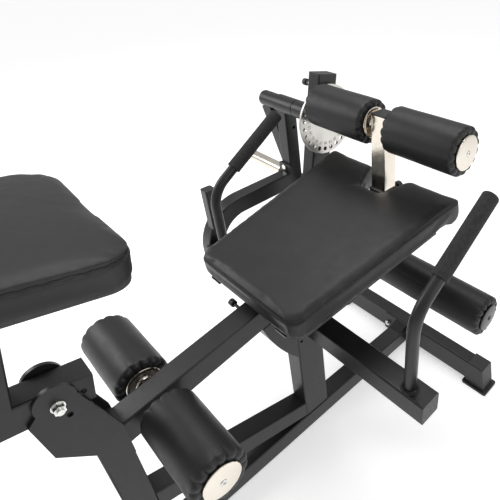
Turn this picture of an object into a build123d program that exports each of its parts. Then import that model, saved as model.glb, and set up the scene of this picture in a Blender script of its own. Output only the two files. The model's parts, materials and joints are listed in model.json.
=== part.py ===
"""Plate-loaded leg curl and leg extension bench.

Axes: +X to the user's right, +Y towards the knee end, +Z up, floor at Z = 0.
The sizes below are laid out from the middle of the main beam (X = 0) and the
cross tube's centre (Y = 0).  save() then moves every sub-part so that the origin
is on the floor under the middle of the whole outline.  All sizes are millimetres.
"""
from build123d import *
import math
import os

# ---------------------------------------------------------------- driving sizes
ORIGIN = (-234.5, -175.3)   # middle of the whole outline in the layout below
TUBE = 60.0                 # main frame tube, outside
WALL = 3.0
CORNER = 5.0                # outside corner radius of the square tubes
RUN_FIT = 0.05              # radial clearance of turning and sliding parts
SOFT_GAP = 0.3              # clearance between a soft part and another body

# base
FLOOR_BEAM_Z = 45.0
FRONT_FOOT_Y = 471.0
REAR_FOOT_Y = -785.0
FOOT_WIDTH = 50.0
FOOT_HEIGHT = 80.0
FOOT_Z = 55.0
FOOT_HALF = 335.0
FLANGE = 8.0                # bolted end plates
FLANGE_BOLT_X = 62.0
FLANGE_BOLT_Z = 50.0

# seat column and inclined seat beam
COLUMN_Y = (-54.0, 33.0)
REAR_COLUMN_Y = (-552.0, -492.0)
REAR_COLUMN_TOP = 528.0
SLOPE = math.atan(0.1835)   # seat beam and seat pad rise towards the knee end
BEAM_TOP = (-330.0, 553.5)  # one point of the beam's upper face, Y and Z
PAD_TOP = (90.0, 711.3)     # one point of the seat pad's upper face, Y and Z
SLEEVE_Y = 330.0            # thigh post sleeve
SLEEVE_Z = (560.0, 722.0)
LOCK_Z = 700.0              # height of the thigh post's lock pin
POST_Z = (590.0, 944.0)
POST_HOLES = 8
POST_PITCH = 20.0
BRACE_RISE = 0.28           # lower brace, rise per length
CROSS_Z = 447.0             # cross tube centre height
CROSS_RIGHT = 432.0
CROSS_LEFT = -460.0

# hand grips
HANDLE_X = 380.0
HANDLE_BASE_Y = -5.0
HANDLE_CORNER_Z = 697.0
HANDLE_TIP = (249.0, 868.0)
HANDLE_BEND = 100.0
HANDLE_DIAMETER = 30.0
GRIP_DIAMETER = 41.0
GRIP_LENGTH = 210.0

# knee pivot on the left side
PIVOT_Y = 374.0
PIVOT_Z = 847.0
HOUSING_RADIUS = 30.0
HOUSING_X = (-605.0, -430.0)
NECK_RADIUS = 27.0          # turned-down outer end of the housing
NECK_X = -525.0
HUB_X = (-427.0, -284.0)
SHAFT_RADIUS = 15.0
BEARING_RADIUS = 23.0
BEARING_WIDTH = 14.0
DISC_THICKNESS = 7.0
DISC_RADIUS = 112.0
PIN_CIRCLE = 96.0
PIN_HOLES = 24
PIN_HOLE_RADIUS = 7.0
PIN_RADIUS = 6.5            # selector pin
ARM_LEAN = math.radians(10.6)
ARM_X = (-340.0, -290.0)
ARM_WIDTH = 76.0
ARM_UP = 133.0
ARM_DOWN = 440.0
UPRIGHT_X = -496.0
UPRIGHT_Y = (352.0, 402.0)
UPRIGHT_BOTTOM = 480.0
UPRIGHT_BOLT_Z = (617.0, 529.0)
SIDE_TUBE = 50.0
SIDE_DEPTH = 60.0           # taller side of the bent side arm
SIDE_ARM_X = -485.0
SIDE_ARM_PATH = ((10.0, 417.0), (10.0, 561.0), (344.0, 574.0))
SIDE_ARM_BEND = 128.0
REST_AT = (-472.0, 24.0)    # arm rest post, X and Y
REST_SIZE = 36.0
REST_TOP = 662.0

# weight lever
HORN_Y = 460.0
HORN_Z = 503.0
HORN_RADIUS = 21.0
SLEEVE_RADIUS = 25.0
HORN_END = -905.0
COLLAR_X = -648.0

# rollers
AXLE_RADIUS = 12.5
THIGH_AXLE_Z = 912.0
THIGH_ROLLER_RADIUS = 63.5
THIGH_ROLLER_X = (36.0, 263.0)
ANKLE_Y = 352.0
ANKLE_Z = 432.0
ANKLE_ROLLER_RADIUS = 60.0
ANKLE_ROLLER_X = (-262.0, 376.0)
REAR_AXLE_Y = -415.0
REAR_AXLE_Z = 507.4
REAR_ROLLER_RADIUS = 60.0
REAR_ROLLER_X = (52.0, 264.0)
ROLLER_ROUND = 10.0         # rounding of the foam's ends

# back pad on its hinge
HINGE_Y = -567.0
HINGE_Z = 668.0
HINGE_PLATE = 8.0
HINGE_HEAD_RADIUS = 34.0
HINGE_BOLT_RADIUS = 6.0
HINGE_FREE_HOLE = (-557.0, 636.0)
STUB_ANGLE = -10.2
BACK_ANGLE = -12.5
BACK_PAD_TOP = (-460.0, 1002.0)
BACK_HALF = 200.0
BACK_FRONT = 66.0           # pad front edge ahead of BACK_PAD_TOP, along the pad
BACK_REAR = -400.0

os.makedirs("parts", exist_ok=True)


# ---------------------------------------------------------------- helpers
def save(piece, name):
    """Move a finished sub-part to the object's origin and write its own STEP file."""
    placed = piece.part.moved(Location((-ORIGIN[0], -ORIGIN[1], 0)))
    placed.label = name
    export_step(placed, f"parts/{name}.step")


def box_section(start, end, width, height, wall=WALL, side=(1, 0, 0)):
    """Straight rectangular tube from start to end; width lies along side."""
    run = Vector(*end) - Vector(*start)
    section = Plane(origin=start, x_dir=side, z_dir=run.normalized())
    with BuildPart() as tube:
        with BuildSketch(section):
            RectangleRounded(width, height, CORNER)
            RectangleRounded(width - 2 * wall, height - 2 * wall, CORNER - wall,
                             mode=Mode.SUBTRACT)
        extrude(amount=run.length)
    return tube.part


def rod(x_from, x_to, y, z, radius):
    """Solid round bar along X."""
    with BuildPart() as bar:
        with BuildSketch(Plane.YZ.offset(x_from)):
            with Locations((y, z)):
                Circle(radius)
        extrude(amount=x_to - x_from)
    return bar.part


def block(x_pair, y_pair, z_pair):
    """Plain block between pairs of coordinates."""
    with BuildPart() as brick:
        with BuildSketch(Plane.XY.offset(z_pair[0])):
            with Locations(((x_pair[0] + x_pair[1]) / 2, (y_pair[0] + y_pair[1]) / 2)):
                Rectangle(x_pair[1] - x_pair[0], y_pair[1] - y_pair[0])
        extrude(amount=z_pair[1] - z_pair[0])
    return brick.part


def hex_bolt(origin, direction, radius, length, head):
    """Hexagon bolt: head outside the origin, shank running along direction."""
    seat = Plane(origin=origin, z_dir=direction)
    with BuildPart() as bolt:
        with BuildSketch(seat):
            RegularPolygon(head, 6)
        extrude(amount=-0.8 * radius)
        with BuildSketch(seat):
            Circle(radius)
        extrude(amount=length)
    return bolt.part


def beam_top(y):
    """Height of the seat beam's upper face at y."""
    return BEAM_TOP[1] + math.tan(SLOPE) * (y - BEAM_TOP[0])


def pad_plane(depth=0.0):
    """Plane of the seat pad's upper face, or parallel to it at a depth."""
    up = (0, -math.sin(SLOPE), math.cos(SLOPE))
    top = Plane(origin=(0, *PAD_TOP), x_dir=(1, 0, 0), z_dir=up)
    return top.offset(-depth)


def arm_point(along, forward):
    """Y and Z of a point in the swing arm's own directions from the pivot."""
    y = PIVOT_Y + along * math.sin(ARM_LEAN) + forward * math.cos(ARM_LEAN)
    z = PIVOT_Z + along * math.cos(ARM_LEAN) - forward * math.sin(ARM_LEAN)
    return y, z


# ---------------------------------------------------------------- base frame
beam_front = FRONT_FOOT_Y - FOOT_WIDTH / 2
beam_rear = REAR_FOOT_Y + FOOT_WIDTH / 2

with BuildPart() as floor_beam:
    add(box_section((0, beam_rear + FLANGE, FLOOR_BEAM_Z),
                    (0, beam_front - FLANGE, FLOOR_BEAM_Z), TUBE, TUBE))
    for face_y in (beam_rear, beam_front - FLANGE):
        with BuildSketch(Plane.XZ.offset(-face_y)):
            with Locations((0, FOOT_Z)):
                RectangleRounded(160, 76, 8)
            with Locations((FLANGE_BOLT_X, FLANGE_BOLT_Z), (-FLANGE_BOLT_X, FLANGE_BOLT_Z)):
                Circle(6.5, mode=Mode.SUBTRACT)
        extrude(amount=-FLANGE)
    for plate_y, tip_y in ((beam_front - FLANGE, beam_front - 44),
                           (beam_rear + FLANGE, beam_rear + 44)):
        with BuildSketch(Plane.YZ.offset(-25)):
            with BuildLine():
                Polyline((plate_y, 75), (tip_y, 75), (plate_y, 92), close=True)
            make_face()
        extrude(amount=50)
save(floor_beam, "floor_beam")

for foot_name, foot_y in (("front_foot_tube", FRONT_FOOT_Y), ("rear_foot_tube", REAR_FOOT_Y)):
    with BuildPart() as foot_tube:
        add(box_section((-FOOT_HALF, foot_y, FOOT_Z), (FOOT_HALF, foot_y, FOOT_Z),
                        FOOT_WIDTH, FOOT_HEIGHT, side=(0, 1, 0)))
        with BuildSketch(Plane.XZ.offset(-foot_y + FOOT_WIDTH)):
            with Locations((FLANGE_BOLT_X, FLANGE_BOLT_Z), (-FLANGE_BOLT_X, FLANGE_BOLT_Z)):
                Circle(6.5)
        extrude(amount=-2 * FOOT_WIDTH, mode=Mode.SUBTRACT)
    save(foot_tube, foot_name)


def foot_cap(side, foot_y):
    """Moulded cap with a flared sole over one end of a foot tube."""
    with BuildPart() as cap:
        with BuildSketch(Plane.XZ.offset(-foot_y)):
            with BuildLine():
                Polyline((side * 292, 8), (side * 292, 99), (side * 350, 99),
                         (side * 366, 8), close=True)
            make_face()
        extrude(amount=FOOT_WIDTH / 2 + 4, both=True)
        fillet(cap.edges().group_by(Axis.Z)[-1], radius=5)
        with BuildSketch(Plane.XY):
            with Locations((side * 331, foot_y)):
                RectangleRounded(94, FOOT_WIDTH + 26, 6)
        extrude(amount=8)
        add(block(sorted((side * 280, side * FOOT_HALF)),
                  (foot_y - FOOT_WIDTH / 2, foot_y + FOOT_WIDTH / 2),
                  (FOOT_Z - FOOT_HEIGHT / 2, FOOT_Z + FOOT_HEIGHT / 2)), mode=Mode.SUBTRACT)
    return cap.part


with BuildPart() as foot_caps:
    for side in (1, -1):
        for foot_y in (FRONT_FOOT_Y, REAR_FOOT_Y):
            add(foot_cap(side, foot_y))
save(foot_caps, "foot_caps")

with BuildPart() as foot_bolts:
    for inner_y, foot_y, out in ((beam_front - FLANGE, FRONT_FOOT_Y, 1),
                                 (beam_rear + FLANGE, REAR_FOOT_Y, -1)):
        for bolt_x in (FLANGE_BOLT_X, -FLANGE_BOLT_X):
            outer_y = foot_y + out * FOOT_WIDTH / 2
            shank = abs(outer_y - inner_y) + 10
            add(hex_bolt((bolt_x, outer_y, FLANGE_BOLT_Z), (0, -out, 0), 6, shank, 11))
            with BuildSketch(Plane(origin=(bolt_x, inner_y, FLANGE_BOLT_Z), z_dir=(0, -out, 0))):
                RegularPolygon(11, 6)
            extrude(amount=6)
save(foot_bolts, "foot_bolts")

beam_under = Plane(origin=(0, BEAM_TOP[0], BEAM_TOP[1] - TUBE / math.cos(SLOPE)),
                   x_dir=(1, 0, 0), z_dir=(0, -math.sin(SLOPE), math.cos(SLOPE)))

with BuildPart() as seat_post:
    column_middle = sum(COLUMN_Y) / 2
    add(box_section((0, column_middle, 75), (0, column_middle, 640),
                    TUBE, COLUMN_Y[1] - COLUMN_Y[0]))
    split(bisect_by=beam_under, keep=Keep.BOTTOM)
    with BuildSketch(Plane.XZ.offset(-COLUMN_Y[0] + 5)):
        with Locations((17, 371)):
            Circle(4.5)
    extrude(amount=-20, mode=Mode.SUBTRACT)
    with BuildSketch(Plane.YZ.offset(TUBE / 2 - 10)):
        with Locations((-41, 398)):
            Circle(4.5)
    extrude(amount=20, mode=Mode.SUBTRACT)
save(seat_post, "seat_post")

with BuildPart() as rear_post:
    rear_middle = sum(REAR_COLUMN_Y) / 2
    add(box_section((0, rear_middle, 75), (0, rear_middle, REAR_COLUMN_TOP), TUBE, TUBE))
    with BuildSketch(Plane.XY.offset(REAR_COLUMN_TOP)):
        with Locations((0, rear_middle)):
            RectangleRounded(TUBE, TUBE, CORNER)
    extrude(amount=-WALL)
save(rear_post, "rear_post")

with BuildPart() as lower_brace:
    brace_z = 109.0
    reach = COLUMN_Y[0] - REAR_COLUMN_Y[1]
    past = 40.0
    add(box_section((0, COLUMN_Y[0] + past, brace_z - BRACE_RISE * past),
                    (0, REAR_COLUMN_Y[1] - past, brace_z + BRACE_RISE * (reach + past)), TUBE, 56))
    split(bisect_by=Plane.XZ.offset(-COLUMN_Y[0]), keep=Keep.TOP)
    split(bisect_by=Plane.XZ.offset(-REAR_COLUMN_Y[1]), keep=Keep.BOTTOM)
save(lower_brace, "lower_brace")

with BuildPart() as seat_beam:
    middle_drop = TUBE / 2 / math.cos(SLOPE)
    add(box_section((0, REAR_COLUMN_Y[1] - 30, beam_top(REAR_COLUMN_Y[1] - 30) - middle_drop),
                    (0, SLEEVE_Y, beam_top(SLEEVE_Y) - middle_drop), TUBE, TUBE))
    split(bisect_by=Plane.XZ.offset(-REAR_COLUMN_Y[1]), keep=Keep.BOTTOM)
    split(bisect_by=Plane.XZ.offset(-(SLEEVE_Y - TUBE / 2)), keep=Keep.TOP)
    add(rod(-TUBE, TUBE, REAR_AXLE_Y, REAR_AXLE_Z, 18))
    add(rod(-TUBE - 5, -TUBE / 2, REAR_AXLE_Y, REAR_AXLE_Z, 20), mode=Mode.SUBTRACT)
    add(rod(TUBE / 2, TUBE + 5, REAR_AXLE_Y, REAR_AXLE_Z, 20), mode=Mode.SUBTRACT)
    add(rod(-TUBE, TUBE, REAR_AXLE_Y, REAR_AXLE_Z, AXLE_RADIUS + RUN_FIT), mode=Mode.SUBTRACT)
save(seat_beam, "seat_beam")

with BuildPart() as seat_gusset:
    under_rear = beam_top(-150) - TUBE / math.cos(SLOPE)
    under_front = beam_top(COLUMN_Y[0]) - TUBE / math.cos(SLOPE)
    with BuildSketch(Plane.YZ.offset(-TUBE / 2)):
        with BuildLine():
            Line((COLUMN_Y[0], 345), (COLUMN_Y[0], under_front))
            Line((COLUMN_Y[0], under_front), (-150, under_rear))
            ThreePointArc((-150, under_rear), (-113, 432), (COLUMN_Y[0], 345))
        make_face()
    extrude(amount=TUBE)
    with BuildSketch(Plane.YZ.offset(-TUBE / 2 + 4)):
        with BuildLine():
            Line((COLUMN_Y[0] - 5, 365), (COLUMN_Y[0] - 5, under_front - 5))
            Line((COLUMN_Y[0] - 5, under_front - 5), (-142, under_rear - 6))
            ThreePointArc((-142, under_rear - 6), (-107, 438), (COLUMN_Y[0] - 5, 365))
        make_face()
    extrude(amount=TUBE - 8, mode=Mode.SUBTRACT)
save(seat_gusset, "seat_gusset")

with BuildPart() as cross_tubes:
    for start_x, end_x in ((TUBE / 2, CROSS_RIGHT), (-TUBE / 2, CROSS_LEFT)):
        add(box_section((start_x, 0, CROSS_Z), (end_x, 0, CROSS_Z), TUBE, TUBE, side=(0, 1, 0)))
    with BuildSketch(Plane.YZ.offset(CROSS_LEFT)):
        with Locations((0, CROSS_Z)):
            RectangleRounded(TUBE, TUBE, CORNER)
    extrude(amount=WALL)
save(cross_tubes, "cross_tubes")

with BuildPart() as post_sleeve:
    with BuildSketch(Plane.XY.offset(SLEEVE_Z[0])):
        with Locations((0, SLEEVE_Y)):
            RectangleRounded(TUBE, TUBE, CORNER)
            RectangleRounded(50 + 2 * RUN_FIT, 50 + 2 * RUN_FIT, 3, mode=Mode.SUBTRACT)
    extrude(amount=SLEEVE_Z[1] - SLEEVE_Z[0])
    with BuildSketch(Plane.XZ.offset(-SLEEVE_Y)):
        with Locations((0, LOCK_Z)):
            Circle(5 + RUN_FIT)
    extrude(amount=-60, mode=Mode.SUBTRACT)
save(post_sleeve, "post_sleeve")


# ---------------------------------------------------------------- side arm and upright
side_arm_foot = Plane(origin=(SIDE_ARM_X, *SIDE_ARM_PATH[0]), x_dir=(1, 0, 0), z_dir=(0, 0, 1))

with BuildPart() as side_arm:
    with BuildLine(Plane.YZ.offset(SIDE_ARM_X)):
        FilletPolyline(*SIDE_ARM_PATH, radius=SIDE_ARM_BEND)
    with BuildSketch(side_arm_foot):
        RectangleRounded(SIDE_TUBE, SIDE_DEPTH, CORNER)
    sweep()
    hollow = offset(side_arm.part, amount=-WALL, mode=Mode.PRIVATE)
    add(hollow, mode=Mode.SUBTRACT)
    with BuildSketch(Plane.XZ.offset(-(UPRIGHT_Y[0] - FLANGE))):
        with Locations((UPRIGHT_X + 2, sum(UPRIGHT_BOLT_Z) / 2)):
            RectangleRounded(64, 116, 4)
        with Locations([(UPRIGHT_X, bolt_z) for bolt_z in UPRIGHT_BOLT_Z]):
            Circle(6, mode=Mode.SUBTRACT)
    extrude(amount=-FLANGE)
save(side_arm, "side_arm")

with BuildPart() as rest_post:
    add(box_section((*REST_AT, 480), (*REST_AT, REST_TOP), REST_SIZE, REST_SIZE, wall=2.5))
    with BuildLine(Plane.YZ.offset(SIDE_ARM_X)):
        FilletPolyline(*SIDE_ARM_PATH, radius=SIDE_ARM_BEND)
    with BuildSketch(side_arm_foot):
        Rectangle(SIDE_TUBE + 40, SIDE_DEPTH)
    sweep(mode=Mode.SUBTRACT)
save(rest_post, "rest_post")

with BuildPart() as pivot_upright:
    upright_y = sum(UPRIGHT_Y) / 2
    add(box_section((UPRIGHT_X, upright_y, UPRIGHT_BOTTOM), (UPRIGHT_X, upright_y, PIVOT_Z - 12),
                    SIDE_TUBE, SIDE_TUBE))
    for bolt_z in UPRIGHT_BOLT_Z:
        with BuildSketch(Plane.XZ.offset(-UPRIGHT_Y[0] + 5)):
            with Locations((UPRIGHT_X, bolt_z)):
                Circle(6)
        extrude(amount=-20, mode=Mode.SUBTRACT)
    with BuildSketch(Plane.YZ.offset(UPRIGHT_X)):
        with Locations((upright_y + 8, 766)):
            Circle(6)
    extrude(amount=60, mode=Mode.SUBTRACT)
    add(rod(-700, -400, PIVOT_Y, PIVOT_Z, HOUSING_RADIUS), mode=Mode.SUBTRACT)

with BuildPart() as pivot_brace:
    add(box_section((-590, upright_y, PIVOT_Z - 18), (-500, upright_y, 629), 50, 40,
                    side=(218, 0, 90)))
    add(block((UPRIGHT_X - SIDE_TUBE / 2, UPRIGHT_X + 100), (300, 450), (400, 900)),
        mode=Mode.SUBTRACT)
    add(rod(-700, NECK_X, PIVOT_Y, PIVOT_Z, NECK_RADIUS), mode=Mode.SUBTRACT)
    add(rod(NECK_X, -400, PIVOT_Y, PIVOT_Z, HOUSING_RADIUS), mode=Mode.SUBTRACT)

with BuildPart() as pivot_post:
    add(pivot_upright.part)
    add(pivot_brace.part)
save(pivot_post, "pivot_upright")

with BuildPart() as upright_bolts:
    for bolt_z in UPRIGHT_BOLT_Z:
        add(hex_bolt((UPRIGHT_X, UPRIGHT_Y[0] - FLANGE, bolt_z), (0, 1, 0), 6, 22, 11))
save(upright_bolts, "upright_bolts")

with BuildPart() as stop_bumper:
    with BuildSketch(Plane.XZ.offset(-UPRIGHT_Y[1])):
        with Locations((UPRIGHT_X, HORN_Z)):
            Circle(16)
    extrude(amount=-(HORN_Y - HORN_RADIUS - UPRIGHT_Y[1] - SOFT_GAP))
save(stop_bumper, "stop_bumper")

with BuildPart() as pivot_housing:
    add(rod(HOUSING_X[0], NECK_X, PIVOT_Y, PIVOT_Z, NECK_RADIUS))
    add(rod(NECK_X, HOUSING_X[1], PIVOT_Y, PIVOT_Z, HOUSING_RADIUS))
    add(rod(*HOUSING_X, PIVOT_Y, PIVOT_Z, BEARING_RADIUS), mode=Mode.SUBTRACT)
    for hole_x in (HOUSING_X[0] + 11, HOUSING_X[0] + 43):
        with BuildSketch(Plane.XY.offset(PIVOT_Z)):
            with Locations((hole_x, PIVOT_Y)):
                Circle(3.5)
        extrude(amount=2 * HOUSING_RADIUS, mode=Mode.SUBTRACT)
save(pivot_housing, "pivot_housing")

with BuildPart() as housing_plug:
    add(rod(HOUSING_X[0] - 5, HOUSING_X[0], PIVOT_Y, PIVOT_Z, NECK_RADIUS))
    fillet(housing_plug.edges().group_by(Axis.X)[0], radius=4)
save(housing_plug, "housing_plug")

with BuildPart() as pivot_bearings:
    for bearing_x in (HOUSING_X[0] + 2, HOUSING_X[1] - 2 - BEARING_WIDTH):
        add(rod(bearing_x, bearing_x + BEARING_WIDTH, PIVOT_Y, PIVOT_Z, BEARING_RADIUS))
        add(rod(bearing_x, bearing_x + BEARING_WIDTH, PIVOT_Y, PIVOT_Z, SHAFT_RADIUS + RUN_FIT),
            mode=Mode.SUBTRACT)
save(pivot_bearings, "pivot_bearings")


# ---------------------------------------------------------------- hand grips
handle_slope = math.atan2(HANDLE_TIP[1] - HANDLE_CORNER_Z, HANDLE_TIP[0] - HANDLE_BASE_Y)
handle_path = [(HANDLE_BASE_Y, CROSS_Z + TUBE / 2), (HANDLE_BASE_Y, HANDLE_CORNER_Z), HANDLE_TIP]
grip_axis = (0, math.cos(handle_slope), math.sin(handle_slope))

with BuildPart() as handle_tubes:
    for side in (1, -1):
        with BuildLine(Plane.YZ.offset(side * HANDLE_X)):
            FilletPolyline(*handle_path, radius=HANDLE_BEND)
        foot = Plane(origin=(side * HANDLE_X, HANDLE_BASE_Y, CROSS_Z + TUBE / 2))
        with BuildSketch(foot):
            Circle(HANDLE_DIAMETER / 2)
            Circle(HANDLE_DIAMETER / 2 - 3, mode=Mode.SUBTRACT)
        sweep()
        with BuildSketch(foot):
            Circle(HANDLE_DIAMETER / 2 + 5)
            Circle(HANDLE_DIAMETER / 2 - 3, mode=Mode.SUBTRACT)
        extrude(amount=5, taper=40)
save(handle_tubes, "handle_tubes")

with BuildPart() as handle_grips:
    for side in (1, -1):
        tip = Plane(origin=(side * HANDLE_X, *HANDLE_TIP), z_dir=grip_axis)
        with BuildSketch(tip.offset(-GRIP_LENGTH)):
            Circle(GRIP_DIAMETER / 2)
        extrude(amount=GRIP_LENGTH + 9)
        with BuildSketch(tip.offset(-GRIP_LENGTH)):
            Circle(HANDLE_DIAMETER / 2)
        extrude(amount=GRIP_LENGTH, mode=Mode.SUBTRACT)
    fillet(handle_grips.edges().filter_by(GeomType.CIRCLE).sort_by(Axis.Y)[-2:], radius=8)
save(handle_grips, "handle_grips")

with BuildPart() as frame_end_caps:
    with BuildSketch(Plane.YZ.offset(CROSS_RIGHT)):
        with Locations((0, CROSS_Z)):
            RectangleRounded(TUBE, TUBE, CORNER)
    extrude(amount=4)
    with BuildSketch(side_arm_foot):
        RectangleRounded(SIDE_TUBE, SIDE_DEPTH, CORNER)
    extrude(amount=-4)
    with BuildSketch(Plane.XY.offset(REST_TOP)):
        with Locations(REST_AT):
            RectangleRounded(REST_SIZE, REST_SIZE, CORNER)
    extrude(amount=4)
save(frame_end_caps, "frame_end_caps")


# ---------------------------------------------------------------- seat
SLAB = 46.0                 # foam thickness
BOARD = 12.0
RAIL = 6.0
NOSE = 72.0                 # depth of the rolled front end
SEAT_SCREW_Y = (-190.0, 150.0)
RAIL_Y = (-273.0, 170.0)
pad_front = (371 - PAD_TOP[0]) / math.cos(SLOPE)
pad_rear = (-182 - PAD_TOP[0]) / math.cos(SLOPE)
pad_half_front = 250.0
pad_half_rear = 198.0

with BuildPart() as seat_pad:
    with BuildSketch(pad_plane(NOSE + 5)):
        with BuildLine():
            Polyline((-pad_half_rear, pad_rear), (pad_half_rear, pad_rear),
                     (pad_half_front, pad_front), (75, pad_front), (55, pad_front - 52),
                     (32, pad_front - 98), (-32, pad_front - 98), (-55, pad_front - 52),
                     (-75, pad_front), (-pad_half_front, pad_front), close=True)
        make_face()
        rear_corners = vertices().group_by(Axis.Y)[0]
        fillet(rear_corners, radius=42)
        fillet(vertices().group_by(Axis.Y)[-1].sort_by(Axis.X)[0::3], radius=14)
        fillet(vertices().filter_by(lambda v: abs(v.X) < 33), radius=22)
    extrude(amount=NOSE + 5)
    nose_back = pad_front - 95
    side_view = Plane(origin=(0, *PAD_TOP), x_dir=(0, math.cos(SLOPE), math.sin(SLOPE)),
                      z_dir=(1, 0, 0))
    with BuildSketch(side_view):
        with BuildLine():
            Polyline((pad_rear, 0), (pad_rear, -SLAB), (nose_back, -SLAB))
            Spline((nose_back, -SLAB), (pad_front - 60, -SLAB - 12), (pad_front - 34, -NOSE),
                   (pad_front - 6, -52), (pad_front, -28), tangents=[(1, 0), (0, 1)])
            ThreePointArc((pad_front, -28), (pad_front - 6, -7), (pad_front - 22, 0))
            Line((pad_front - 22, 0), (pad_rear, 0))
        make_face()
    extrude(amount=300, both=True, mode=Mode.INTERSECT)
save(seat_pad, "seat_pad")

board_front = pad_front - 104
with BuildPart() as seat_board:
    with BuildSketch(pad_plane(SLAB + BOARD)):
        with BuildLine():
            Polyline((-pad_half_rear + 8, pad_rear + 8), (pad_half_rear - 8, pad_rear + 8),
                     (pad_half_front - 20, board_front), (-pad_half_front + 20, board_front),
                     close=True)
        make_face()
        fillet(vertices().group_by(Axis.Y)[0], radius=36)
        with Locations([(x, y) for x in (-134, 134) for y in SEAT_SCREW_Y]):
            Circle(4, mode=Mode.SUBTRACT)
    extrude(amount=BOARD)
save(seat_board, "seat_board")

crossbar_height = (PAD_TOP[1] - beam_top(PAD_TOP[0])) * math.cos(SLOPE) - SLAB - BOARD - RAIL
with BuildPart() as seat_rails:
    with BuildSketch(pad_plane(SLAB + BOARD + RAIL)):
        with Locations([(x, (RAIL_Y[0] + RAIL_Y[1]) / 2) for x in (-134, 134)]):
            Rectangle(36, RAIL_Y[1] - RAIL_Y[0])
        with Locations([(x, y) for x in (-134, 134) for y in SEAT_SCREW_Y]):
            Circle(4, mode=Mode.SUBTRACT)
    extrude(amount=RAIL)
    with BuildSketch(pad_plane(SLAB + BOARD + RAIL)):
        with Locations((0, -70), (0, 100)):
            Rectangle(304, 44)
    extrude(amount=-crossbar_height)
save(seat_rails, "seat_rails")

with BuildPart() as seat_screws:
    for screw_x in (-134, 134):
        for screw_y in SEAT_SCREW_Y:
            with BuildSketch(pad_plane(SLAB + BOARD + RAIL)):
                with Locations((screw_x, screw_y)):
                    RegularPolygon(7.5, 6)
            extrude(amount=-5)
            with BuildSketch(pad_plane(SLAB + BOARD + RAIL)):
                with Locations((screw_x, screw_y)):
                    Circle(4)
            extrude(amount=RAIL + BOARD - 1)
save(seat_screws, "seat_screws")

with BuildPart() as seat_knob:
    knob_y = -167
    knob_z = beam_top(knob_y) - 14
    add(rod(-TUBE / 2 - 28, -TUBE / 2, knob_y, knob_z, 4))
    add(rod(-TUBE / 2 - 42, -TUBE / 2 - 28, knob_y, knob_z, 9))
save(seat_knob, "seat_knob")


# ---------------------------------------------------------------- knee mechanism, turning parts
with BuildPart() as pivot_shaft:
    add(rod(HOUSING_X[0] + 2, HUB_X[1] + DISC_THICKNESS + 2, PIVOT_Y, PIVOT_Z, SHAFT_RADIUS))
save(pivot_shaft, "pivot_shaft")

with BuildPart() as pivot_hub:
    add(rod(*HUB_X, PIVOT_Y, PIVOT_Z, HOUSING_RADIUS))
    add(rod(*HUB_X, PIVOT_Y, PIVOT_Z, SHAFT_RADIUS), mode=Mode.SUBTRACT)
save(pivot_hub, "pivot_hub")

disc_x = HUB_X[1]
with BuildPart() as selector_disc:
    with BuildSketch(Plane.YZ.offset(disc_x)):
        with Locations((PIVOT_Y, PIVOT_Z)):
            Circle(DISC_RADIUS)
            Circle(SHAFT_RADIUS, mode=Mode.SUBTRACT)
            with PolarLocations(PIN_CIRCLE, PIN_HOLES, start_angle=math.degrees(-ARM_LEAN)):
                Circle(PIN_HOLE_RADIUS, mode=Mode.SUBTRACT)
            with PolarLocations(22.5, 3, start_angle=30):
                Circle(3, mode=Mode.SUBTRACT)
    extrude(amount=DISC_THICKNESS)
    chamfer(selector_disc.edges().filter_by(GeomType.CIRCLE).sort_by(SortBy.RADIUS)[-2:], length=0.8)
save(selector_disc, "selector_disc")

with BuildPart() as disc_screws:
    for turn in (30, 150, 270):
        screw_y = PIVOT_Y + 22.5 * math.cos(math.radians(turn))
        screw_z = PIVOT_Z + 22.5 * math.sin(math.radians(turn))
        add(rod(disc_x, disc_x + DISC_THICKNESS, screw_y, screw_z, 3))
        add(rod(disc_x + DISC_THICKNESS, disc_x + DISC_THICKNESS + 2, screw_y, screw_z, 5))
save(disc_screws, "disc_screws")

LEVER_X = (-400.0, -360.0)
with BuildPart() as weight_lever:
    add(box_section((sum(LEVER_X) / 2, PIVOT_Y, PIVOT_Z), (sum(LEVER_X) / 2, HORN_Y, HORN_Z),
                    LEVER_X[1] - LEVER_X[0], 50))
    add(rod(*LEVER_X, HORN_Y, HORN_Z, 31))
    add(rod(*LEVER_X, PIVOT_Y, PIVOT_Z, HOUSING_RADIUS), mode=Mode.SUBTRACT)
    add(rod(*LEVER_X, HORN_Y, HORN_Z, HORN_RADIUS), mode=Mode.SUBTRACT)
save(weight_lever, "weight_lever")

with BuildPart() as weight_horn:
    add(rod(HORN_END + 8, LEVER_X[1], HORN_Y, HORN_Z, HORN_RADIUS))
    add(rod(COLLAR_X, COLLAR_X + 8, HORN_Y, HORN_Z, 45))
save(weight_horn, "weight_horn")

with BuildPart() as horn_sleeve:
    add(rod(HORN_END, COLLAR_X, HORN_Y, HORN_Z, SLEEVE_RADIUS))
    fillet(horn_sleeve.edges().group_by(Axis.X)[0], radius=4)
    add(rod(HORN_END + 8, COLLAR_X, HORN_Y, HORN_Z, HORN_RADIUS), mode=Mode.SUBTRACT)
save(horn_sleeve, "horn_sleeve")


# ---------------------------------------------------------------- swing arm
arm_middle = sum(ARM_X) / 2
pin_y, pin_z = arm_point(PIN_CIRCLE, 0)
arm_axis = (0, math.sin(ARM_LEAN), math.cos(ARM_LEAN))

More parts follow.
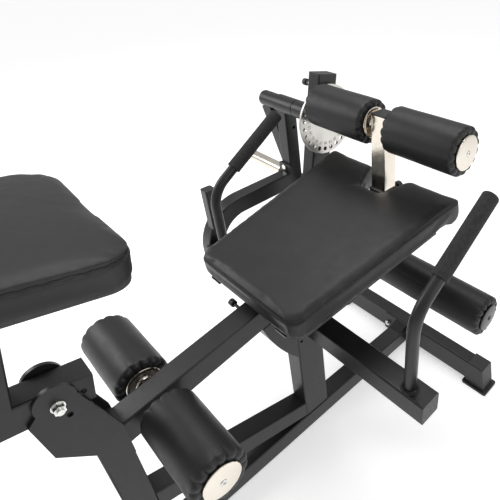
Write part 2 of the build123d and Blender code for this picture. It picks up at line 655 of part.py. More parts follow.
with BuildPart() as swing_arm:
    add(box_section((arm_middle, *arm_point(-ARM_DOWN, 0)), (arm_middle, *arm_point(ARM_UP, 0)),
                    ARM_X[1] - ARM_X[0], ARM_WIDTH, wall=4))
    add(rod(ARM_X[0] - 2, ARM_X[1] + 2, PIVOT_Y, PIVOT_Z, 37))
    add(rod(*ARM_X, ANKLE_Y, ANKLE_Z, 26))
    add(rod(*ARM_X, pin_y, pin_z, 11))
    add(rod(ARM_X[0] - 2, ARM_X[1] + 2, PIVOT_Y, PIVOT_Z, HOUSING_RADIUS + RUN_FIT),
        mode=Mode.SUBTRACT)
    add(rod(*ARM_X, ANKLE_Y, ANKLE_Z, AXLE_RADIUS), mode=Mode.SUBTRACT)
    add(rod(*ARM_X, pin_y, pin_z, PIN_RADIUS + RUN_FIT), mode=Mode.SUBTRACT)
save(swing_arm, "swing_arm")

with BuildPart() as swing_arm_caps:
    for along, thick in ((ARM_UP, 6), (-ARM_DOWN, -6)):
        end = Plane(origin=(arm_middle, *arm_point(along, 0)), x_dir=(1, 0, 0), z_dir=arm_axis)
        with BuildSketch(end):
            RectangleRounded(ARM_X[1] - ARM_X[0], ARM_WIDTH, CORNER)
        extrude(amount=thick)
save(swing_arm_caps, "swing_arm_caps")

with BuildPart() as ankle_axle:
    add(rod(ARM_X[0], ANKLE_ROLLER_X[1] - 2, ANKLE_Y, ANKLE_Z, AXLE_RADIUS))
save(ankle_axle, "ankle_axle")

with BuildPart() as selector_barrel:
    add(rod(ARM_X[0] - 22, ARM_X[0], pin_y, pin_z, 12))
    add(rod(ARM_X[0] - 22, ARM_X[0], pin_y, pin_z, PIN_RADIUS + RUN_FIT), mode=Mode.SUBTRACT)
save(selector_barrel, "selector_barrel")

PIN_PARK = 1.0              # gap from the parked pin's tip to the disc
with BuildPart() as selector_pin:
    add(rod(ARM_X[0] - 40, disc_x - PIN_PARK, pin_y, pin_z, PIN_RADIUS))
save(selector_pin, "selector_pin")

with BuildPart() as selector_knob:
    with BuildSketch(Plane(origin=(ARM_X[0] - 36, pin_y, pin_z), z_dir=(-1, 0, 0))):
        Circle(8)
    extrude(amount=10)
    with BuildSketch(Plane(origin=(ARM_X[0] - 46, pin_y, pin_z), z_dir=(-1, 0, 0))):
        Circle(11)
    extrude(amount=16)
    fillet(selector_knob.edges().filter_by(GeomType.CIRCLE).group_by(Axis.X)[0], radius=4)
    add(rod(ARM_X[0] - 40, ARM_X[0] - 36, pin_y, pin_z, PIN_RADIUS), mode=Mode.SUBTRACT)
save(selector_knob, "selector_knob")


# ---------------------------------------------------------------- rollers
def roller(x_pair, y, z, radius):
    """Upholstered foam roller with a bore for its end cups and rounded rims."""
    with BuildPart() as foam:
        add(rod(*x_pair, y, z, radius))
        fillet(foam.edges().filter_by(GeomType.CIRCLE), radius=ROLLER_ROUND)
        add(rod(*x_pair, y, z, 18), mode=Mode.SUBTRACT)
    return foam.part


def cup(face_x, out, y, z, rim, closed):
    """Turned end cup: a flanged dish outside the foam and a bush inside its bore.

    face_x is the foam's end face and out the outward direction along X."""
    with BuildPart() as dish:
        plate = sorted((face_x, face_x + out * 5))
        add(rod(*plate, y, z, rim))
        outer = dish.edges().filter_by(GeomType.CIRCLE).sort_by(Axis.X)
        fillet(outer[-1] if out > 0 else outer[0], radius=3)
        bush = sorted((face_x, face_x - out * 25))
        add(rod(*bush, y, z, 18))
        bore = sorted((face_x - out * 30, face_x + out * (1 if closed else 8)))
        add(rod(*bore, y, z, AXLE_RADIUS + RUN_FIT), mode=Mode.SUBTRACT)
    return dish.part


for roller_name, side in (("right", 1), ("left", -1)):
    inner_x, outer_x = (side * x for x in THIGH_ROLLER_X)
    with BuildPart() as thigh_roller:
        add(roller(sorted((inner_x, outer_x)), SLEEVE_Y, THIGH_AXLE_Z, THIGH_ROLLER_RADIUS))
    save(thigh_roller, f"thigh_roller_{roller_name}")
    with BuildPart() as thigh_cups:
        add(cup(inner_x, -side, SLEEVE_Y, THIGH_AXLE_Z, 44, False))
        add(cup(outer_x, side, SLEEVE_Y, THIGH_AXLE_Z, 45, True))
    save(thigh_cups, f"thigh_cups_{roller_name}")

with BuildPart() as thigh_axle:
    reach_x = THIGH_ROLLER_X[1] + 0.5
    add(rod(-reach_x, reach_x, SLEEVE_Y, THIGH_AXLE_Z, AXLE_RADIUS))
save(thigh_axle, "thigh_axle")

with BuildPart() as thigh_post:
    with BuildSketch(Plane.XY.offset(POST_Z[0])):
        with Locations((0, SLEEVE_Y)):
            RectangleRounded(50, 50, 3)
            RectangleRounded(44, 44, 1, mode=Mode.SUBTRACT)
    extrude(amount=POST_Z[1] - POST_Z[0])
    add(rod(-30, 30, SLEEVE_Y, THIGH_AXLE_Z, AXLE_RADIUS), mode=Mode.SUBTRACT)
    for hole in range(POST_HOLES):
        with BuildSketch(Plane.XZ.offset(-SLEEVE_Y)):
            with Locations((0, LOCK_Z - 60 + POST_PITCH * hole)):
                Circle(5.5)
        extrude(amount=-40, mode=Mode.SUBTRACT)
save(thigh_post, "thigh_post")

with BuildPart() as thigh_post_cap:
    with BuildSketch(Plane.XY.offset(POST_Z[1])):
        with Locations((0, SLEEVE_Y)):
            RectangleRounded(50, 50, 3)
    extrude(amount=4)
save(thigh_post_cap, "thigh_post_cap")

sleeve_front = SLEEVE_Y + TUBE / 2
post_front = SLEEVE_Y + 25
with BuildPart() as thigh_pin_barrel:
    with BuildSketch(Plane.XZ.offset(-sleeve_front)):
        with Locations((0, LOCK_Z)):
            Circle(11)
            Circle(5 + RUN_FIT, mode=Mode.SUBTRACT)
    extrude(amount=-18)
save(thigh_pin_barrel, "thigh_pin_barrel")

with BuildPart() as thigh_pin:
    with BuildSketch(Plane.XZ.offset(-(post_front + 1))):
        with Locations((0, LOCK_Z)):
            Circle(5)
    extrude(amount=-40)
    with BuildSketch(Plane.XZ.offset(-(post_front + 35))):
        with Locations((0, LOCK_Z)):
            Circle(14)
    extrude(amount=-18)
    fillet(thigh_pin.edges().filter_by(GeomType.CIRCLE).group_by(Axis.Y)[-1], radius=5)
save(thigh_pin, "thigh_pin")

with BuildPart() as ankle_roller:
    add(roller(ANKLE_ROLLER_X, ANKLE_Y, ANKLE_Z, ANKLE_ROLLER_RADIUS))
save(ankle_roller, "ankle_roller")

with BuildPart() as ankle_cups:
    add(cup(ANKLE_ROLLER_X[0], -1, ANKLE_Y, ANKLE_Z, 39, False))
    add(cup(ANKLE_ROLLER_X[1], 1, ANKLE_Y, ANKLE_Z, 39, True))
save(ankle_cups, "ankle_cups")

with BuildPart() as rear_axle:
    reach_x = REAR_ROLLER_X[1] + 0.5
    add(rod(-reach_x, reach_x, REAR_AXLE_Y, REAR_AXLE_Z, AXLE_RADIUS))
save(rear_axle, "rear_axle")

with BuildPart() as rear_rollers:
    for side in (1, -1):
        ends = sorted(side * x for x in REAR_ROLLER_X)
        add(roller(ends, REAR_AXLE_Y, REAR_AXLE_Z, REAR_ROLLER_RADIUS))
save(rear_rollers, "rear_rollers")

with BuildPart() as rear_cups:
    for side in (1, -1):
        add(cup(side * REAR_ROLLER_X[0], -side, REAR_AXLE_Y, REAR_AXLE_Z, 40, False))
        add(cup(side * REAR_ROLLER_X[1], side, REAR_AXLE_Y, REAR_AXLE_Z, 40, True))
save(rear_cups, "rear_cups")


# ---------------------------------------------------------------- back pad on its hinge
with BuildPart() as hinge_plates:
    for plate_x in (TUBE / 2, -TUBE / 2 - HINGE_PLATE):
        with BuildSketch(Plane.YZ.offset(plate_x)):
            with BuildLine():
                Polyline((-492, 440), (-492, 532), (-535, 678), (-566, 680), (-599, 672),
                         (-616, 656), (-606, 560), (-552, 500), (-552, 440), close=True)
            make_face()
            with Locations((HINGE_Y, HINGE_Z + 11)):
                Circle(HINGE_HEAD_RADIUS)
            with Locations((HINGE_Y, HINGE_Z)):
                Circle(HINGE_BOLT_RADIUS, mode=Mode.SUBTRACT)
            with Locations(HINGE_FREE_HOLE):
                Circle(6, mode=Mode.SUBTRACT)
        extrude(amount=HINGE_PLATE)
save(hinge_plates, "hinge_plates")

with BuildPart() as hinge_bolt:
    plate_out = TUBE / 2 + HINGE_PLATE
    add(rod(-plate_out - 12, plate_out + 18, HINGE_Y, HINGE_Z, HINGE_BOLT_RADIUS))
    for washer in (sorted((plate_out, plate_out + 2)), sorted((-plate_out, -plate_out - 2))):
        add(rod(*washer, HINGE_Y, HINGE_Z, 12))
    for head_x, direction in ((plate_out + 2, 1), (-plate_out - 2, -1)):
        with BuildSketch(Plane(origin=(head_x, HINGE_Y, HINGE_Z), z_dir=(direction, 0, 0))):
            RegularPolygon(10.5, 6)
        extrude(amount=11)
save(hinge_bolt, "hinge_bolt")


def stub_point(along, up=0.0):
    """Y and Z of a point in the hinged stub's own directions from the hinge bolt."""
    turn = math.radians(STUB_ANGLE)
    y = HINGE_Y + along * math.cos(turn) - up * math.sin(turn)
    z = HINGE_Z + along * math.sin(turn) + up * math.cos(turn)
    return y, z


back_tilt = math.radians(BACK_ANGLE)
back_up = (0, -math.sin(back_tilt), math.cos(back_tilt))


def back_plane(depth):
    """Plane parallel to the back pad's upper face; local Y runs to the knee end."""
    return Plane(origin=(0, *BACK_PAD_TOP), x_dir=(1, 0, 0), z_dir=back_up).offset(-depth)


BACK_SLAB = 42.0
post_foot = stub_point(-62)
post_length = 350.0
with BuildPart() as back_frame:
    add(box_section((0, *stub_point(-150)), (0, *stub_point(62)), TUBE - 1, TUBE))
    add(box_section((0, *stub_point(-88)), (0, post_foot[0] - 26 + post_length * -math.sin(back_tilt),
                                          post_foot[1] + post_length * math.cos(back_tilt)),
                    TUBE - 1, TUBE))
    split(bisect_by=back_plane(BACK_SLAB + BOARD + 8), keep=Keep.BOTTOM)
    with BuildSketch(back_plane(BACK_SLAB + BOARD + 8)):
        with Locations((0, -140)):
            RectangleRounded(220, 180, 10)
    extrude(amount=8)
    add(rod(-40, 40, HINGE_Y, HINGE_Z, 14))
    add(block((-60, -TUBE / 2 + 0.5), (-700, -400), (500, 800)), mode=Mode.SUBTRACT)
    add(block((TUBE / 2 - 0.5, 60), (-700, -400), (500, 800)), mode=Mode.SUBTRACT)
    add(rod(-60, 60, HINGE_Y, HINGE_Z, HINGE_BOLT_RADIUS + RUN_FIT), mode=Mode.SUBTRACT)
    add(rod(-60, 60, *stub_point(43), 6), mode=Mode.SUBTRACT)
save(back_frame, "back_frame")

with BuildPart() as back_board:
    with BuildSketch(back_plane(BACK_SLAB + BOARD)):
        with Locations((0, (BACK_FRONT + BACK_REAR) / 2)):
            RectangleRounded(2 * BACK_HALF - 16, BACK_FRONT - BACK_REAR - 16, 45)
    extrude(amount=BOARD)
save(back_board, "back_board")

with BuildPart() as back_pad:
    with BuildSketch(back_plane(BACK_SLAB)):
        with BuildLine():
            ThreePointArc((-BACK_HALF, BACK_FRONT), (0, BACK_FRONT - 3), (BACK_HALF, BACK_FRONT))
            Polyline((BACK_HALF, BACK_FRONT), (BACK_HALF, BACK_REAR), (-BACK_HALF, BACK_REAR),
                     (-BACK_HALF, BACK_FRONT))
        make_face()
        fillet(vertices(), radius=60)
    extrude(amount=BACK_SLAB)
save(back_pad, "back_pad")

print("parts written:", len(os.listdir("parts")))
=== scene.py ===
"""Looks of the lying leg curl machine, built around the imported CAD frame.

Layout coordinates are millimetres from the middle of the main beam (x), the middle
of the cross tube (y) and the floor (z); at() turns them into the frame's metres.
"""
import json
import math
import random
from functools import partial

import bmesh
import bpy
from mathutils import Matrix, Vector, noise
from mathutils.bvhtree import BVHTree


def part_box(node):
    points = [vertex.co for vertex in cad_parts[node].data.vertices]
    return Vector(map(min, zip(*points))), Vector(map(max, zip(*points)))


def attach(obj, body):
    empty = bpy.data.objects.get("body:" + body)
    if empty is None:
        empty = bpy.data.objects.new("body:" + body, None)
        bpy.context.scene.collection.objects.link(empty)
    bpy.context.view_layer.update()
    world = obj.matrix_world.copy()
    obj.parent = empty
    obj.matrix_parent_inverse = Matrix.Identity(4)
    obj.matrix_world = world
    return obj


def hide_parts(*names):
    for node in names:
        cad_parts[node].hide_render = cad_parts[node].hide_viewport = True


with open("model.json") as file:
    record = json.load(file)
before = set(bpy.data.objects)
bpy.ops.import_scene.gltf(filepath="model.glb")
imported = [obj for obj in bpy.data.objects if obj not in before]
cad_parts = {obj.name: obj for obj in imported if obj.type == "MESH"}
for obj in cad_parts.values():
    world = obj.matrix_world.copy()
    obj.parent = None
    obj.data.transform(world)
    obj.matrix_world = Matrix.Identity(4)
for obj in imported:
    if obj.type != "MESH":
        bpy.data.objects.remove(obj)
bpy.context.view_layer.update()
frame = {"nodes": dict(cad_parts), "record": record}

MM = 0.001


def middle(node):
    """Middle of a CAD node's box."""
    low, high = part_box(node)
    return (low + high) / 2


BEAM_X = middle("seat_post").x
CROSS_Y = middle("cross_tubes").y


def at(x, y, z):
    """A layout point in the frame's metres."""
    return Vector((BEAM_X + x * MM, CROSS_Y + y * MM, z * MM))


# ------------------------------------------------------------------ materials
class Shader:
    """A Principled material with helpers for procedural detail in object space."""

    def __init__(self, name, color, roughness, metallic=0.0, specular=0.5):
        self.material = bpy.data.materials.new(name)
        self.material.use_nodes = True
        self.nodes = self.material.node_tree.nodes
        self.links = self.material.node_tree.links
        self.shader = self.nodes["Principled BSDF"]
        self.color = color
        self.set("Base Color", (*color, 1))
        self.set("Roughness", roughness)
        self.set("Metallic", metallic)
        self.set("Specular IOR Level", specular)
        self.coordinates = self.nodes.new("ShaderNodeTexCoord").outputs["Object"]
        self.height = None

    def set(self, socket, value):
        self.shader.inputs[socket].default_value = value

    def noise(self, scale, detail=2.0, stretch=(1, 1, 1)):
        """Noise value from 0 to 1; scale is in cells per metre."""
        mapping = self.nodes.new("ShaderNodeMapping")
        mapping.inputs["Scale"].default_value = stretch
        self.links.new(self.coordinates, mapping.inputs["Vector"])
        texture = self.nodes.new("ShaderNodeTexNoise")
        texture.inputs["Scale"].default_value = scale
        texture.inputs["Detail"].default_value = detail
        self.links.new(mapping.outputs["Vector"], texture.inputs["Vector"])
        return texture.outputs["Fac"]

    def cells(self, scale, feature="F1"):
        """Distance to the nearest of scattered points, for grain and pebbling."""
        texture = self.nodes.new("ShaderNodeTexVoronoi")
        texture.feature = feature
        texture.inputs["Scale"].default_value = scale
        self.links.new(self.coordinates, texture.inputs["Vector"])
        return texture.outputs["Distance"]

    def spread(self, value, low, high, socket, from_low=0.3, from_high=0.7):
        """Drive a number socket between low and high."""
        ramp = self.nodes.new("ShaderNodeMapRange")
        ramp.inputs["From Min"].default_value = from_low
        ramp.inputs["From Max"].default_value = from_high
        ramp.inputs["To Min"].default_value = low
        ramp.inputs["To Max"].default_value = high
        self.links.new(value, ramp.inputs["Value"])
        self.links.new(ramp.outputs["Result"], self.shader.inputs[socket])

    def tint(self, value, dark, light):
        """Drive the base colour between two colours."""
        ramp = self.nodes.new("ShaderNodeValToRGB")
        ramp.color_ramp.elements[0].position = 0.32
        ramp.color_ramp.elements[0].color = (*dark, 1)
        ramp.color_ramp.elements[1].position = 0.68
        ramp.color_ramp.elements[1].color = (*light, 1)
        self.links.new(value, ramp.inputs["Fac"])
        self.links.new(ramp.outputs["Color"], self.shader.inputs["Base Color"])

    def bump(self, value, depth, strength=1.0):
        """Add relief of this depth in metres on top of any earlier relief."""
        bump = self.nodes.new("ShaderNodeBump")
        bump.inputs["Distance"].default_value = depth
        bump.inputs["Strength"].default_value = strength
        self.links.new(value, bump.inputs["Height"])
        if self.height is not None:
            self.links.new(self.height, bump.inputs["Normal"])
        self.height = bump.outputs["Normal"]
        self.links.new(self.height, self.shader.inputs["Normal"])

    def radius_from(self, centre):
        """Distance from an axis along X through centre, in metres."""
        shift = self.nodes.new("ShaderNodeVectorMath")
        shift.operation = "SUBTRACT"
        shift.inputs[1].default_value = centre
        self.links.new(self.coordinates, shift.inputs[0])
        flat = self.nodes.new("ShaderNodeVectorMath")
        flat.operation = "MULTIPLY"
        flat.inputs[1].default_value = (0, 1, 1)
        self.links.new(shift.outputs["Vector"], flat.inputs[0])
        length = self.nodes.new("ShaderNodeVectorMath")
        length.operation = "LENGTH"
        self.links.new(flat.outputs["Vector"], length.inputs[0])
        return length.outputs["Value"]

    def rings(self, centre, scale):
        """Fine noise that only changes with distance from an axis along X."""
        texture = self.nodes.new("ShaderNodeTexNoise")
        texture.noise_dimensions = "1D"
        texture.inputs["Scale"].default_value = scale
        texture.inputs["Detail"].default_value = 3
        self.links.new(self.radius_from(centre), texture.inputs["W"])
        return texture.outputs["Fac"]


def powder_coat():
    s = Shader("powder_coat_black", (0.011, 0.011, 0.0115), 0.36, specular=0.42)
    s.tint(s.noise(35, 3), (0.009, 0.009, 0.0095), (0.013, 0.013, 0.0135))
    s.spread(s.noise(160, 2), 0.31, 0.41, "Roughness")
    s.bump(s.noise(1500, 2), 0.00012, 0.55)
    s.bump(s.noise(260, 1), 0.0001, 0.35)
    return s.material


def leatherette():
    s = Shader("leatherette_black", (0.013, 0.013, 0.0135), 0.4, specular=0.36)
    s.tint(s.noise(18, 3), (0.011, 0.011, 0.0115), (0.015, 0.015, 0.0155))
    s.spread(s.noise(55, 3), 0.4, 0.48, "Roughness")
    s.bump(s.cells(780), 0.00018, 0.4)
    s.bump(s.noise(1900, 2), 0.0001, 0.4)
    s.bump(s.noise(26, 2), 0.0012, 0.08)
    return s.material


def seam_thread():
    s = Shader("seam_thread_black", (0.012, 0.012, 0.012), 0.7)
    s.tint(s.noise(900, 2), (0.008, 0.008, 0.008), (0.02, 0.02, 0.02))
    s.bump(s.noise(3500, 2, (1, 1, 1)), 0.0002, 0.8)
    return s.material


def foam_grip():
    s = Shader("foam_grip_black", (0.028, 0.028, 0.029), 0.82, specular=0.3)
    s.tint(s.noise(120, 3), (0.022, 0.022, 0.023), (0.034, 0.034, 0.035))
    s.spread(s.noise(300, 2), 0.74, 0.9, "Roughness")
    s.bump(s.cells(1300), 0.0003, 0.7)
    s.bump(s.noise(600, 2), 0.0002, 0.4)
    return s.material


def rubber():
    s = Shader("bumper_rubber", (0.02, 0.02, 0.02), 0.7)
    s.tint(s.noise(200, 2), (0.014, 0.014, 0.014), (0.026, 0.026, 0.026))
    s.bump(s.noise(1200, 2), 0.00015, 0.6)
    return s.material


def moulded_plastic():
    s = Shader("moulded_plastic_black", (0.016, 0.016, 0.0165), 0.5)
    s.tint(s.noise(60, 2), (0.013, 0.013, 0.0135), (0.019, 0.019, 0.0195))
    s.spread(s.noise(220, 2), 0.42, 0.56, "Roughness")
    s.bump(s.cells(1900), 0.0001, 0.4)
    return s.material


def gloss_plastic():
    s = Shader("turned_plastic_black", (0.012, 0.012, 0.0125), 0.28)
    s.tint(s.noise(80, 2), (0.01, 0.01, 0.0105), (0.014, 0.014, 0.0145))
    s.spread(s.noise(140, 2), 0.22, 0.36, "Roughness")
    s.bump(s.noise(900, 2), 0.00004, 0.4)
    return s.material


def nickel():
    s = Shader("nickel_plate_warm", (0.73, 0.68, 0.6), 0.17, metallic=1.0)
    s.tint(s.noise(14, 3), (0.70, 0.645, 0.56), (0.76, 0.71, 0.63))
    s.spread(s.noise(90, 3), 0.13, 0.23, "Roughness")
    s.bump(s.noise(700, 2, (1, 1, 0.15)), 0.00003, 0.35)
    return s.material


def satin_disc():
    centre = middle("selector_disc")
    s = Shader("satin_stainless_disc", (0.62, 0.605, 0.57), 0.34, metallic=1.0)
    s.tint(s.noise(30, 3), (0.57, 0.555, 0.52), (0.66, 0.645, 0.61))
    s.spread(s.rings(centre, 2600), 0.26, 0.44, "Roughness")
    s.bump(s.rings(centre, 5200), 0.00004, 0.5)
    return s.material


def engraving():
    s = Shader("engraved_number_fill", (0.03, 0.029, 0.027), 0.55)
    s.tint(s.noise(500, 2), (0.02, 0.0195, 0.018), (0.04, 0.038, 0.036))
    s.bump(s.noise(2500, 2), 0.00005, 0.5)
    return s.material


def zinc():
    s = Shader("zinc_plate_bright", (0.74, 0.74, 0.71), 0.27, metallic=1.0)
    s.tint(s.noise(180, 3), (0.66, 0.665, 0.645), (0.80, 0.80, 0.765))
    s.spread(s.noise(420, 3), 0.2, 0.38, "Roughness")
    s.bump(s.noise(1600, 2), 0.00005, 0.5)
    return s.material


def ground_steel():
    s = Shader("ground_steel_bar", (0.56, 0.56, 0.55), 0.25, metallic=1.0)
    s.tint(s.noise(70, 3), (0.5, 0.5, 0.49), (0.6, 0.6, 0.59))
    s.spread(s.noise(900, 2, (6, 1, 1)), 0.2, 0.36, "Roughness")
    s.bump(s.noise(2200, 2, (5, 1, 1)), 0.00003, 0.5)
    return s.material


def stained_plywood():
    s = Shader("stained_plywood_black", (0.03, 0.028, 0.026), 0.62)
    s.tint(s.noise(40, 5, (1, 9, 9)), (0.02, 0.018, 0.017), (0.045, 0.041, 0.037))
    s.spread(s.noise(130, 3, (1, 8, 8)), 0.54, 0.72, "Roughness")
    s.bump(s.noise(210, 4, (1, 12, 12)), 0.0003, 0.5)
    return s.material


def pale_floor():
    s = Shader("pale_floor", (0.93, 0.93, 0.93), 0.6, specular=0.25)
    s.tint(s.noise(3, 2), (0.925, 0.925, 0.925), (0.935, 0.935, 0.935))
    s.set("Emission Color", (1, 1, 1, 1))
    s.set("Emission Strength", 0.45)
    return s.material


LOOKS = {
    "painted_frame": powder_coat(),
    "zinc_fasteners": zinc(),
    "black_plastic": moulded_plastic(),
    "foam_grip": foam_grip(),
    "rubber_bumper": rubber(),
    "leatherette": leatherette(),
    "stained_plywood": stained_plywood(),
    "nickel_plate": nickel(),
    "roller_cup_black": gloss_plastic(),
    "satin_stainless": satin_disc(),
    "ground_steel": ground_steel(),
}
THREAD = seam_thread()
NUMBER_FILL = engraving()

for row in frame["record"]["subparts"]:
    cad = frame["nodes"][row["node"]]
    cad.data.materials.clear()
    cad.data.materials.append(LOOKS[row["material_slot"]])


# ------------------------------------------------------------------ mesh helpers
TURNED = 96                 # points round a turned piece


def piece_from(name, points, faces, look, body, smooth=True):
    """A mesh piece in the frame's metres, riding on a CAD body."""
    mesh = bpy.data.meshes.new(name)
    mesh.from_pydata([tuple(p) for p in points], [], faces)
    mesh.materials.append(look)
    mesh.validate()
    for polygon in mesh.polygons:
        polygon.use_smooth = smooth
    piece = bpy.data.objects.new(name, mesh)
    bpy.context.scene.collection.objects.link(piece)
    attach(piece, body)
    return piece


def ring_faces(rings, around, closed_rows=False):
    """Quads joining rings of points that run around an axis."""
    faces = []
    rows = rings if closed_rows else rings - 1
    for row in range(rows):
        after = (row + 1) % rings
        for k in range(around):
            following = (k + 1) % around
            faces.append((row * around + k, row * around + following,
                          after * around + following, after * around + k))
    return faces


def circle(centre, along, radius, around):
    """Points of a circle about an axis along X, or of another form if radius is a function."""
    points = []
    for k in range(around):
        turn = math.tau * k / around
        reach = radius(turn) if callable(radius) else radius
        points.append(centre + Vector((along, reach * math.cos(turn), reach * math.sin(turn))) * MM)
    return points


def end_faces(rings, around):
    """The two faces that close the first and the last of several rings."""
    last = (rings - 1) * around
    return [tuple(range(around))[::-1], tuple(last + k for k in range(around))]


def lathe(name, profile, centre, out, look, body):
    """Turn a profile of (distance along X, radius) pairs about an axis along X.

    out is +1 or -1: which way the profile's distances run from centre."""
    points = []
    for along, radius in profile:
        points += circle(centre, out * along, radius, TURNED)
    faces = ring_faces(len(profile), TURNED) + end_faces(len(profile), TURNED)
    if out < 0:
        faces = [f[::-1] for f in faces]
    piece = piece_from(name, points, faces, look, body)
    mark_sharp(piece, 35)
    return piece


def mark_sharp(piece, degrees):
    """Shade smooth except across edges sharper than this angle."""
    bm = bmesh.new()
    bm.from_mesh(piece.data)
    bmesh.ops.recalc_face_normals(bm, faces=bm.faces)
    for edge in bm.edges:
        edge.smooth = not (edge.is_manifold and edge.calc_face_angle(0) > math.radians(degrees))
    bm.to_mesh(piece.data)
    bm.free()


def tube_along(name, line, radius, look, body, closed=False, sides=8):
    """A thin round tube through points that lie close together."""
    count = len(line)
    points = []
    normal = None
    for i, point in enumerate(line):
        before = line[i - 1] if closed or i > 0 else point
        after = line[(i + 1) % count] if closed or i < count - 1 else point
        tangent = (after - before).normalized()
        if normal is None:
            normal = tangent.orthogonal().normalized()
        normal = (normal - tangent * normal.dot(tangent)).normalized()
        side = tangent.cross(normal)
        for k in range(sides):
            turn = math.tau * k / sides
            points.append(point + (normal * math.cos(turn) + side * math.sin(turn)) * radius * MM)
    faces = ring_faces(count, sides, closed)
    if not closed:
        faces += end_faces(count, sides)
    return piece_from(name, points, faces, look, body)


def evenly(line, step, closed=False):
    """Points spaced evenly along a polyline; step is in metres."""
    path = line + [line[0]] if closed else line
    lengths = [0.0]
    for a, b in zip(path, path[1:]):
        lengths.append(lengths[-1] + (b - a).length)
    count = max(2, round(lengths[-1] / step))
    total = count if closed else count + 1
    spaced = []
    segment = 0
    for i in range(total):
        target = lengths[-1] * i / count
        while segment < len(path) - 2 and lengths[segment + 1] < target:
            segment += 1
        span = lengths[segment + 1] - lengths[segment]
        share = (target - lengths[segment]) / span if span else 0
        spaced.append(path[segment].lerp(path[segment + 1], share))
    return spaced


# ------------------------------------------------------------------ upholstery
VOXEL = 5                   # cell of the remeshed covers, millimetres
SEAM_WIDTH = 3.2            # reach of a sewn groove to each side
CORD_LIFT = 0.1             # seam cord above the cover
STITCH_LIFT = 0.25


class PadFrame:
    """Directions of a flat pad: across (+X), along (towards the knee end) and up."""

    def __init__(self, origin, slope):
        self.origin = origin
        self.across = Vector((1, 0, 0))
        self.along = Vector((0, math.cos(slope), math.sin(slope)))
        self.up = Vector((0, -math.sin(slope), math.cos(slope)))

    def point(self, across, along, up):
        return self.origin + (self.across * across + self.along * along + self.up * up) * MM

    def local(self, point):
        offset = (point - self.origin) / MM
        return Vector((offset.dot(self.across), offset.dot(self.along), offset.dot(self.up)))


def rounded(corners, steps=8):
    """Outline of (x, y, radius) corners with each corner rounded by an arc."""
    outline = []
    count = len(corners)
    for i, (x, y, radius) in enumerate(corners):
        here = Vector((x, y))
        before = (Vector(corners[i - 1][:2]) - here).normalized()
        after = (Vector(corners[(i + 1) % count][:2]) - here).normalized()
        half = before.angle(after) / 2
        back = radius / math.tan(half)
        centre = here + (before + after).normalized() * radius / math.sin(half)
        start = here + before * back - centre
        end = here + after * back - centre
        swing = start.angle_signed(end)
        for k in range(steps + 1):
            angle = -swing * k / steps
            turned = Vector((start.x * math.cos(angle) - start.y * math.sin(angle),
                             start.x * math.sin(angle) + start.y * math.cos(angle)))
            outline.append(centre + turned)
    return outline


def apply_modifier(piece, modifier):
    """Bake one modifier into the mesh."""
    bpy.context.view_layer.update()
    evaluated = piece.evaluated_get(bpy.context.evaluated_depsgraph_get())
    baked = bpy.data.meshes.new_from_object(evaluated)
    piece.modifiers.remove(modifier)
    old = piece.data
    piece.data = baked
    bpy.data.meshes.remove(old)


def remesh(piece, voxel):
    """Even quads over the whole closed form; voxel is in millimetres."""
    modifier = piece.modifiers.new("Remesh", "REMESH")
    modifier.mode = "VOXEL"
    modifier.voxel_size = voxel * MM
    modifier.use_smooth_shade = True
    apply_modifier(piece, modifier)


def inflate(piece, held, cap, pressure=4.0, frames=20):
    """Swell the foam under its cover with a short cloth simulation.

    held(point) tells which vertices are glued to the board; no point moves
    further than cap millimetres."""
    rest = [v.co.copy() for v in piece.data.vertices]
    glued = piece.vertex_groups.new(name="glued")
    glued.add([v.index for v in piece.data.vertices if held(v.co)], 1.0, "REPLACE")
    modifier = piece.modifiers.new("Cloth", "CLOTH")
    settings = modifier.settings
    settings.quality = 6
    settings.use_pressure = True
    settings.uniform_pressure_force = pressure
    settings.tension_stiffness = 15
    settings.compression_stiffness = 15
    settings.bending_stiffness = 0.6
    settings.effector_weights.gravity = 0
    settings.vertex_group_mass = "glued"
    modifier.collision_settings.use_collision = False
    modifier.collision_settings.use_self_collision = False
    modifier.point_cache.frame_start = 1
    modifier.point_cache.frame_end = frames
    scene = bpy.context.scene
    for step in range(1, frames + 1):
        scene.frame_set(step)
    evaluated = piece.evaluated_get(bpy.context.evaluated_depsgraph_get())
    moved = [v.co.copy() for v in evaluated.data.vertices]
    piece.modifiers.remove(modifier)
    scene.frame_set(1)
    for vertex, before, after in zip(piece.data.vertices, rest, moved):
        step = after - before
        if step.length > cap * MM:
            step = step.normalized() * cap * MM
        vertex.co = before + step


def subdivide(piece):
    """Split every quad once and round the form between its points."""
    modifier = piece.modifiers.new("Subdivision", "SUBSURF")
    modifier.levels = 1
    modifier.render_levels = 1
    apply_modifier(piece, modifier)
    for polygon in piece.data.polygons:
        polygon.use_smooth = True


def surface_of(piece):
    """Search tree of a finished piece's surface."""
    mesh = piece.data
    return BVHTree.FromPolygons([v.co for v in mesh.vertices],
                                [tuple(p.vertices) for p in mesh.polygons])


def press_seam(piece, line, width, depth):
    """Pull the cover in along a sewn line, all sizes in millimetres."""
    tree = BVHTree.FromPolygons(
        [p for a, b in zip(line, line[1:]) for p in (a, b, (a + b) / 2 + Vector((0, 0, 1e-6)))],
        [(3 * i, 3 * i + 1, 3 * i + 2) for i in range(len(line) - 1)])
    for vertex in piece.data.vertices:
        found = tree.find_nearest(vertex.co, 3 * width * MM)
        if found[0] is None:
            continue
        near = found[3] / (width * MM)
        vertex.co -= vertex.normal * depth * MM * math.exp(-near * near)


